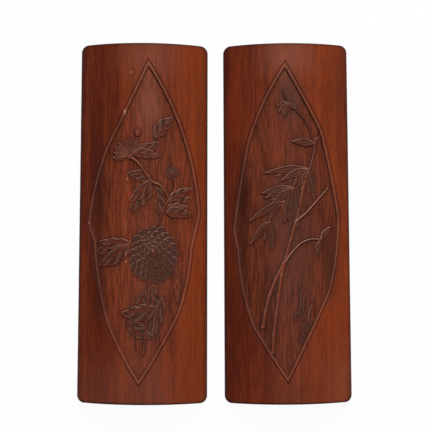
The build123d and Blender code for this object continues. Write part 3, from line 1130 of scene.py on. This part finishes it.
@dataclass
class BambooRest(Rest):
    """The right rest, with two stems of growing bamboo, their hanging leaves, a rock and some grass.

    The drawing's points are shares of the picture's half width and half length.
    """

    stem_width: float = 2.5
    knot_width: float = 3.2
    twig_widths: tuple[float, ...] = (1.2, 1.9, 1.8)
    leaf_width: float = 5.2

    main_stem: tuple[Point, ...] = (
        (-0.315, -0.81), (-0.29, -0.69), (-0.24, -0.57), (-0.19, -0.45), (-0.13, -0.33), (-0.045, -0.22),
        (0.05, -0.11), (0.15, 0.0), (0.235, 0.10), (0.29, 0.20), (0.36, 0.28),
    )
    second_stem: tuple[Point, ...] = (
        (-0.50, -0.655), (-0.44, -0.55), (-0.36, -0.45), (-0.235, -0.35), (-0.08, -0.25),
    )
    twigs: tuple[tuple[Point, ...], ...] = (
        ((0.36, 0.28), (0.45, 0.35), (0.52, 0.48), (0.36, 0.615), (0.19, 0.685), (0.04, 0.73), (-0.10, 0.815)),
        ((0.15, 0.0), (0.34, 0.05), (0.51, 0.11), (0.65, 0.16), (0.79, 0.215)),
        ((-0.06, -0.25), (0.06, -0.195), (0.22, -0.14), (0.42, -0.11), (0.63, -0.11)),
    )
    sprays: tuple[tuple[Point, tuple[Point, ...]], ...] = (
        ((0.40, 0.325), ((-0.455, 0.30), (-0.14, 0.25), (0.10, 0.215), (0.305, 0.19), (0.51, 0.12))),
        ((0.12, 0.207), ((-0.51, 0.175), (-0.44, 0.145), (-0.33, 0.10), (0.02, 0.03), (0.17, -0.05), (0.30, 0.035))),
        ((-0.06, 0.125), ((-0.75, 0.0), (-0.06, -0.01), (0.02, 0.0))),
        ((-0.335, 0.0), ((-0.73, -0.145), (-0.63, -0.08), (-0.285, -0.178))),
        ((0.04, 0.73), ((-0.20, 0.715), (-0.16, 0.675), (-0.05, 0.645), (0.19, 0.685))),
        ((0.52, 0.48), ((0.07, 0.495), (0.60, 0.523))),
        ((0.63, -0.11), ((0.82, -0.03), (0.56, -0.21))),
    )
    mounds: tuple[tuple[Point, float], ...] = (((0.22, -0.58), 4.0), ((0.38, -0.645), 4.4), ((0.29, -0.72), 3.8))
    blades: tuple[tuple[Point, Point], ...] = (
        ((0.24, -0.56), (0.25, -0.40)), ((0.28, -0.56), (0.33, -0.42)), ((0.36, -0.62), (0.46, -0.50)),
    )

    def relief(self) -> dict[str, list[Ribbon]]:
        """Stems, twigs, leaves, rock and grass."""
        return {
            "stems": [self.stem(self.main_stem), self.stem(self.second_stem)],
            "twigs": [self.twig(*twig) for twig in zip(self.twigs, self.twig_widths)],
            "leaves": [leaf for spray in self.sprays for leaf in self.spray(*spray)],
            "rock": [self.stone(*mound) for mound in self.mounds],
            "grass": [self.blade(*blade) for blade in self.blades],
        }

    def stem(self, points: Sequence[Point]) -> Ribbon:
        """A stem with a knot at each of its points.

        The half width is the stem's, drawn in a little between the knots by a cosine, and swollen by a narrow
        bell at each knot. The knot carries a ring: two ridges with a line cut between them.

        Args:
            points: where its knots lie.

        Returns:
            The ribbon.
        """
        knots = np.array([self.picture.point(point) for point in points])
        line = smooth_run(knots, 40 * len(points))
        away = np.hypot(*(line[:, None] - knots).transpose(2, 0, 1)).min(1)
        swell = np.exp(-((away / 0.8) ** 2))
        half_width = self.stem_width / 2 * (1 - 0.06 * np.clip(away / 6, 0, 1))
        half_width = half_width + (self.knot_width - self.stem_width) / 2 * swell
        ribbon = Rounded(-1.2, 0.45, 0.12, 0.75, 0.65).cut(line, half_width, 15)
        ring = np.exp(-(((away - 0.55) / 0.3) ** 2)) - 1.2 * np.exp(-((away / 0.25) ** 2))
        ribbon.heights = ribbon.heights + 0.13 * ring[:, None]
        ribbon.wear_and_highlight = np.clip(ribbon.wear_and_highlight + 0.3 * ring[:, None], -1, 1)
        return ribbon

    def twig(self, points: Sequence[Point], width: float) -> Ribbon:
        """A thin twig that narrows to its end."""
        line = smooth_run([self.picture.point(point) for point in points], 80)
        return Rounded(-1.1, 0.5, 0.0, 1.2, 0.2).cut(line, width / 2 * np.linspace(1.0, 0.5, 80), 9)

    def spray(self, hub: Point, tips: Sequence[Point]) -> list[Ribbon]:
        """A spray of leaves that hang from one joint, each over the one before.

        Args:
            hub: where they hang from.
            tips: where they end.

        Returns:
            One ribbon for each leaf, and one for the joint.
        """
        base = self.picture.point(hub)
        leaves = []
        between = [((a + c) / 2 * 0.9 + hub[0] * 0.1, (b + d) / 2 * 0.9 + hub[1] * 0.1)
                   for (a, b), (c, d) in zip(tips, tips[1:])]
        for number, tip in enumerate([*between, *tips]):
            behind = number < len(between)
            end = self.picture.point(tip)
            long = float(np.hypot(*(end - base)))
            line = bowed_run(base, end, (-0.03 if tip[0] < hub[0] else 0.03) * long, 44)
            height = -0.95 if behind else -0.62 + 0.2 * (number % 2)
            dark, warm = (0.4, 0.7) if behind else (0.35, 0.25)
            cut = Hollowed((height, height - 0.2), 0.24, 0.45, -0.1, 0, 1, dark, warm=warm)
            widest = self.leaf_width / 2 * min(1.0, 0.35 + long / 26) * (0.8 if behind else 1.0)
            leaves.append(cut.cut(line, leaf_width(eased(44), widest)))
        leaves.append(dome(base, 0.95, Rounded(-0.95, 0.5)))
        return leaves

    def stone(self, at: Point, size: float) -> Ribbon:
        """One stone of the rock: a low uneven mound with an edge."""
        middle, across = self.picture.point(at), np.array((cos(0.35), sin(0.35)))
        line = middle + size * (2 * eased(30)[:, None] - 1) * across
        return Hollowed((-1.35, -1.35), 0.1, 0.6, dark=0.4, bright=0.2).cut(
            line, lobed_widths(eased(30), 0.75 * size, 2, int(10 * size))
        )

    def blade(self, base: Point, tip: Point) -> Ribbon:
        """A blade of grass."""
        line = bowed_run(self.picture.point(base), self.picture.point(tip), 0.5, 24)
        return Hollowed((-1.0, -1.3), 0.1, 0.3).cut(line, leaf_width(eased(24), 0.6), 9)


@dataclass
class ChrysanthemumRest(Rest):
    """The left rest, with an open chrysanthemum, one seen from the side, a bud, stems and lobed leaves.

    The drawing's points are shares of the picture's half width and half length.
    """

    stem_width: float = 2.0
    blossom_reach: Point = (17.9, 20.4)
    blossom_centre: Point = (0.22, -0.20)
    side_blossom: Point = (-0.25, 0.395)
    bud: Point = (-0.13, 0.54)
    young_blossom: Point = (0.525, 0.30)
    young_reach: Point = (4.6, 4.2)
    stems: tuple[tuple[Point, ...], ...] = (
        ((-0.25, 0.395), (-0.07, 0.343), (0.14, 0.25), (0.31, 0.222), (0.46, 0.15), (0.39, 0.09), (0.27, -0.02)),
        ((0.17, -0.35), (0.145, -0.47), (0.13, -0.60), (0.08, -0.80)),
        ((0.50, 0.165), (0.575, 0.20), (0.565, 0.265)),
    )
    front_lobes: tuple[tuple[Point, Point, float], ...] = (
        ((0.19, 0.51), (0.51, 0.64), 9.0), ((-0.20, 0.415), (0.265, 0.395), 7.0),
        ((0.14, 0.25), (-0.265, 0.12), 8.0), ((0.23, 0.22), (0.295, 0.05), 8.5),
        ((0.48, 0.13), (0.88, 0.215), 6.0), ((0.43, 0.06), (0.87, 0.045), 8.0),
        ((-0.21, -0.14), (-0.78, -0.27), 9.5), ((-0.20, -0.13), (-0.79, -0.125), 8.0),
        ((0.30, -0.525), (-0.33, -0.555), 11.5), ((0.62, -0.27), (0.68, -0.49), 4.5),
        ((0.41, -0.45), (0.24, -0.70), 6.5), ((0.10, -0.42), (-0.07, -0.55), 7.0),
    )
    back_lobes: tuple[tuple[Point, Point, float], ...] = (
        ((-0.08, 0.44), (0.26, 0.485), 7.0), ((0.12, 0.25), (-0.28, 0.293), 7.5),
        ((0.17, 0.21), (-0.205, 0.06), 11.0), ((0.45, 0.11), (0.88, 0.155), 9.0),
        ((0.44, 0.09), (0.82, 0.10), 8.0), ((-0.20, -0.14), (-0.85, -0.20), 9.5),
        ((-0.20, -0.60), (0.26, -0.70), 9.5), ((0.22, -0.40), (0.38, -0.56), 7.0),
        ((0.30, -0.38), (0.12, -0.53), 8.0),
    )
    # Each ring of a blossom: reach and neck as shares of its own, number of petals, height of their rims, and how
    # far its middle lies towards the head
    rings: tuple[tuple[float, ...], ...] = (
        (1.0, 0.5, 21, -0.92, 0.0), (0.78, 0.36, 16, -0.79, 0.05), (0.57, 0.24, 11, -0.66, 0.09),
        (0.37, 0.12, 7, -0.54, 0.12), (0.19, 0.0, 4, -0.44, 0.14),
    )
    young_rings: tuple[tuple[float, ...], ...] = ((1.0, 0.4, 9, -1.05, 0.0), (0.55, 0.0, 6, -0.95, 0.1))

    def relief(self) -> dict[str, list[Ribbon]]:
        """Stems, leaves, blossoms and bud."""
        point = self.picture.point
        return {
            "stems": [self.stem(points) for points in self.stems],
            "leaves": [self.lobe(*lobe, -0.98) for lobe in self.back_lobes]
            + [self.lobe(*lobe, -0.65) for lobe in self.front_lobes],
            "blossom": self.blossom(self.blossom_centre, self.blossom_reach, self.rings, 1.6),
            "side_blossom": self.opening_blossom(),
            "bud": [dome(point(self.bud), 2.3, Rounded(-1.1, 0.5, 0.1), 1.1)],
            "young_blossom": self.blossom(self.young_blossom, self.young_reach, self.young_rings, 0.5),
        }

    def stem(self, points: Sequence[Point]) -> Ribbon:
        """A stem that narrows a little to its end."""
        line = smooth_run([self.picture.point(point) for point in points], 110)
        return Rounded(-1.0, 0.5, 0.1, 1.0).cut(line, self.stem_width / 2 * np.linspace(1.0, 0.8, 110), 11)

    def lobe(self, base: Point, tip: Point, width: float, height: float) -> Ribbon:
        """One lobed blade of a leaf, hollowed on both sides of its vein.

        Args:
            base: where it starts.
            tip: where it ends.
            width: at its widest.
            height: of its rim over the skin.

        Returns:
            The ribbon.
        """
        start, end = self.picture.point(base), self.picture.point(tip)
        lobes = 3 if np.hypot(*(end - start)) > 16 else 2
        line = bowed_run(start, end, width * 0.16 * (1 if height > -0.8 else -1), 64)
        cut = Hollowed((height, height - 0.15), 0.32, 0.5, 0.15, lobes, dark=0.4, warm=0.5)
        return cut.cut(line, lobed_widths(eased(64), width / 2, lobes, int(100 * abs(base[0] + tip[1]))), 21)

    def blossom(
        self, middle: Point, size: Point, rings: Sequence[tuple[float, ...]], bright: float
    ) -> list[Ribbon]:
        """An open blossom: rings of scooped petals that climb to its heart, which lies towards the head.

        A ring's petals point outwards at even angles, turned half a step against the ring before. Each runs
        from inside the next ring to its reach, and its half width is a little more than its share of the ring.
        Reach and height differ a little from petal to petal, as a carver's do.

        Args:
            middle: of the outer ring.
            size: reach of the outer ring across and along.
            rings: see the attribute of that name.
            bright: how light the painted highlights on the rims are.

        Returns:
            One ribbon for each petal, and one for the heart.
        """
        chance = np.random.default_rng(self.seed)
        ribbons = []
        for number, (reach, neck, count, height, lift) in enumerate(rings):
            centre = self.picture.point(middle) + (0.0, lift * size[1])
            for petal in range(count):
                angle = 2 * pi * (petal + 0.5 * (number % 2)) / count + pi / 2 + 0.06 * number
                ahead = np.array((size[0] * cos(angle), size[1] * sin(angle)))
                t = eased(26)
                tip = reach * (1 - chance.uniform(0.0, 0.08))
                line = centre + (neck + (tip - neck) * t)[:, None] * ahead
                widest = 1.2 * float(np.hypot(*ahead)) * reach * sin(pi / count)
                rim = height - chance.uniform(0.0, 0.12)
                cut = Hollowed((rim - 0.3, rim), 0.24, 0.45, streaks=2, dark=0.5, bright=bright, kind=3.0)
                ribbons.append(cut.cut(line, petal_width(t, widest), 15))
        ribbons.append(dome(centre, 0.11 * size[0], Rounded(rings[-1][3] - 0.1, 0.2)))
        ribbons[-1].kind = 3.0
        return ribbons

    def opening_blossom(self) -> list[Ribbon]:
        """The blossom seen from the side: a fan of narrow petals out of a cup."""
        base = self.picture.point(self.side_blossom)
        ribbons = []
        for number, angle in enumerate(np.radians(np.linspace(38, 194, 19))):
            ahead = np.array((np.cos(angle), np.sin(angle)))
            length = 12.8 if number % 2 else 11.0
            line = bowed_run(base + 2.5 * ahead, base + length * ahead, 0.35, 30)
            height = -0.65 if number % 2 else -0.85
            cut = Hollowed((height - 0.2, height), 0.28, 0.35)
            ribbons.append(cut.cut(line, petal_width(eased(30), 0.95, 0.35), 9))
        ribbons.append(dome(base, 2.3, Rounded(-0.9, 0.45), 0.9, 120.0))
        return ribbons


# ---------------------------------------------------------------------------------------------------------------
# The studio
# ---------------------------------------------------------------------------------------------------------------


class Lamp(Enum):
    """The studio's lamps: place and aim in metres, size of the panel, and power in watts."""

    KEY = ((0.25, 2.0, 1.5), (0.0, 0.0, 0.0), (1.3, 0.8), 60.0)
    OVERHEAD = ((0.2, -0.1, 1.3), (0.0, 0.0, 0.0), (0.5, 0.5), 5.0)

    def light(self) -> bpy.types.Object:
        """Makes the lamp as a panel that faces its aim."""
        place, aim, size, watts = self.value
        data = bpy.data.lights.new(f"lamp_{self.name.lower()}", "AREA")
        data.shape = "RECTANGLE"
        data.size, data.size_y = size
        data.energy = watts
        lamp = bpy.data.objects.new(data.name, data)
        lamp.location = place
        lamp.rotation_euler = (Vector(aim) - Vector(place)).to_track_quat("-Z", "Y").to_euler()
        bpy.context.scene.collection.objects.link(lamp)
        return lamp


@dataclass(frozen=True)
class Studio:
    """A white floor, two soft lamps and a camera over the rests.

    Attributes:
        camera_place: in metres.
        camera_turn: degrees about X, Y and Z.
        focal_pixels: focal length in pixels of a picture 432 wide.
        world_light: strength of the even light from all round.
    """

    camera_place: tuple[float, float, float] = (-0.00396, -0.02302, 0.800)
    camera_turn: tuple[float, float, float] = (2.0336, -0.3669, -0.0652)
    focal_pixels: float = 1135.8
    world_light: float = 0.15

    def build(self) -> None:
        """Sets up the camera, the lamps, the world and the floor."""
        scene = bpy.context.scene
        scene.view_settings.view_transform = "Standard"
        data = bpy.data.cameras.new("camera")
        data.sensor_fit = "HORIZONTAL"
        data.sensor_width = 36.0
        data.lens = self.focal_pixels * 36.0 / 432
        data.clip_start, data.clip_end = 0.01, 50.0
        camera = bpy.data.objects.new("camera", data)
        camera.location = self.camera_place
        camera.rotation_euler = [radians(angle) for angle in self.camera_turn]
        scene.collection.objects.link(camera)
        scene.camera = camera
        for lamp in Lamp:
            lamp.light()
        world = bpy.data.worlds.new("studio_air")
        world.use_nodes = True
        world.node_tree.nodes["Background"].inputs["Color"].default_value = (1.0, 1.0, 1.0, 1.0)
        world.node_tree.nodes["Background"].inputs["Strength"].default_value = self.world_light
        scene.world = world
        self.floor()
        log.info("studio: camera, %d lamps and floor", len(Lamp))

    def floor(self) -> None:
        """A wide white floor: a dull white that the camera sees near its full strength."""
        side = np.array([(-1, -1), (1, -1), (1, 1), (-1, 1)]) * 3.0
        mesh = bpy.data.meshes.new("floor")
        mesh.from_pydata(np.column_stack((side, np.full(4, -0.0002))), [], [(0, 1, 2, 3)])
        floor = bpy.data.objects.new("floor", mesh)
        bpy.context.scene.collection.objects.link(floor)
        bench = Bench("white_floor")
        dull = bench.add("ShaderNodeBsdfDiffuse")
        dull.inputs["Color"].default_value = (0.9, 0.9, 0.9, 1.0)
        glow = bench.add("ShaderNodeEmission")
        glow.inputs["Color"].default_value = (1.0, 1.0, 1.0, 1.0)
        glow.inputs["Strength"].default_value = 1.0
        path = bench.add("ShaderNodeLightPath")
        mixed = bench.add("ShaderNodeMixShader")
        bench.plug(bench.sum("MULTIPLY", path.outputs["Is Camera Ray"], 0.94), mixed.inputs["Fac"])
        bench.plug(dull.outputs[0], mixed.inputs[1])
        bench.plug(glow.outputs[0], mixed.inputs[2])
        bench.plug(mixed.outputs[0], bench.add("ShaderNodeOutputMaterial").inputs["Surface"])
        mesh.materials.append(bench.material)


CHRYSANTHEMUM_BORDER = (
    ((0.74, 0.543), (1.065, 0.05)), ((1.0, -0.055), (0.94, -0.16)), ((0.875, -0.365), (0.735, -0.56)),
    ((0.39, -0.79), (0.02, -1.0)), ((-0.33, -0.817), (-0.63, -0.614)), ((-0.805, -0.38), (-0.907, -0.13)),
    ((-0.985, -0.07), (-1.023, 0.0)), ((-0.918, 0.23), (-0.717, 0.456)), ((-0.35, 0.723), (0.015, 1.0)),
)
BAMBOO_BORDER = (
    ((0.352, 0.782), (0.697, 0.57)), ((0.882, 0.304), (1.025, 0.045)), ((0.975, -0.207), (0.818, -0.444)),
    ((0.397, -0.728), (-0.025, -1.0)), ((-0.363, -0.834), (-0.693, -0.658)), ((-0.9, -0.426), (-0.983, -0.178)),
    ((-1.04, -0.1), (-1.05, -0.018)), ((-0.933, 0.232), (-0.785, 0.489)), ((-0.478, 0.75), (-0.025, 1.0)),
)
DARK_BROWN = (54, 22, 3)
PLUM_BROWN = (74, 36, 24)
ORANGE = (124, 46, 6)
# Painted sheen: a pale greyish veil laid over the crown, strongest towards the head.
PAINTED_SHEEN = (142, 88, 70)
GREY_BROWN = (72, 48, 40)
FRESH = (160, 66, 24)
PALE = (200, 142, 102)
CHRYSANTHEMUM_SPOTS = (
    Spot((0.0, 1.0), (34.0, 26.0), PAINTED_SHEEN, 0.28),
    Spot((0.05, 0.70), (14.0, 30.0), PAINTED_SHEEN, 0.35),
    Spot((-0.35, -1.05), (60.0, 44.0), PAINTED_SHEEN, 0.2),
    Spot((-0.78, 0.12), (9.0, 62.0), DARK_BROWN, 0.7),
    Spot((-0.75, -0.42), (9.0, 40.0), DARK_BROWN, 0.6),
    Spot((0.1, -0.55), (20.0, 30.0), GREY_BROWN, 0.65),
    Spot((0.65, -0.38), (2.5, 13.0), FRESH, 0.6),
    Spot((-0.24, 0.14), (4.0, 8.0), FRESH, 0.55),
    Spot((0.20, 0.14), (3.0, 10.0), FRESH, 0.5),
    Spot((-0.5, -0.2), (15.0, 16.0), GREY_BROWN, 0.5),
    Spot((-0.288, 0.24), (0.5, 9.5), PALE, 0.9, broken=True),
    Spot((-0.297, -0.035), (0.5, 5.5), PALE, 0.9, broken=True),
    Spot((-0.28, -0.2), (0.45, 8.0), PALE, 0.9, broken=True),
    Spot((-0.276, -0.245), (0.8, 0.9), PALE, 1.0),
    Spot((-0.367, 0.664), (1.5, 3.4), PALE, 0.75),
    Spot((-0.984, -0.014), (0.8, 1.2), PALE, 0.6),
    Spot((-0.281, 0.908), (1.8, 0.7), PALE, 0.5),
)
BAMBOO_SPOTS = (
    Spot((0.0, 1.02), (30.0, 24.0), PAINTED_SHEEN, 0.4),
    Spot((0.05, 0.76), (14.0, 30.0), GREY_BROWN, 0.65),
    Spot((0.1, -0.2), (28.0, 66.0), GREY_BROWN, 0.35),
    Spot((-0.1, 0.14), (22.0, 30.0), GREY_BROWN, 0.5),
    Spot((-0.1, 0.08), (3.0, 9.0), FRESH, 0.4),
    Spot((1.0, 0.78), (16.0, 50.0), PLUM_BROWN, 0.35),
    Spot((0.0, -1.05), (30.0, 22.0), PLUM_BROWN, 0.25),
    Spot((1.0, -1.0), (26.0, 40.0), PAINTED_SHEEN, 0.18),
    Spot((-0.83, 0.16), (8.5, 46.0), DARK_BROWN, 0.85),
    Spot((-0.85, -0.2), (6.0, 40.0), DARK_BROWN, 0.6),
    Spot((0.8, -0.27), (9.0, 38.0), PLUM_BROWN, 0.8),
    Spot((-0.98, 0.66), (8.0, 40.0), ORANGE, 0.4),
    Spot((-0.2, 0.5), (12.0, 40.0), ORANGE, 0.25),
)


def main() -> None:
    """Builds both rests and the studio."""
    logging.basicConfig(level=logging.INFO, format="%(name)s: %(message)s")
    chrysanthemum = ChrysanthemumRest(
        node="chrysanthemum_wrist_rest",
        body="chrysanthemum_rest",
        slot="chrysanthemum_bamboo",
        title="chrysanthemum_rest",
        slip=Slip(-49.8, -0.4, 88.8, 91.0),
        picture=Picture(114.0, 38.6, CHRYSANTHEMUM_BORDER, -1.25),
        patina=Patina("chrysanthemum_rest_patina", 2.0, -0.095, -0.004),
        seed=11,
        spots=CHRYSANTHEMUM_SPOTS,
    )
    bamboo = BambooRest(
        node="bamboo_wrist_rest",
        body="bamboo_rest",
        slot="bamboo_bamboo",
        title="bamboo_rest",
        slip=Slip(50.8, 0.4, 87.2, 89.0),
        picture=Picture(112.5, 36.9, BAMBOO_BORDER),
        patina=Patina("bamboo_rest_patina", 7.0, 0.007, 0.095, ground_light=(124, 58, 36)),
        seed=23,
        spots=BAMBOO_SPOTS,
    )
    pieces = chrysanthemum.build() + bamboo.build()
    Studio().build()
    log.info("%d pieces in all", len(pieces))


if __name__ == "__main__":
    main()
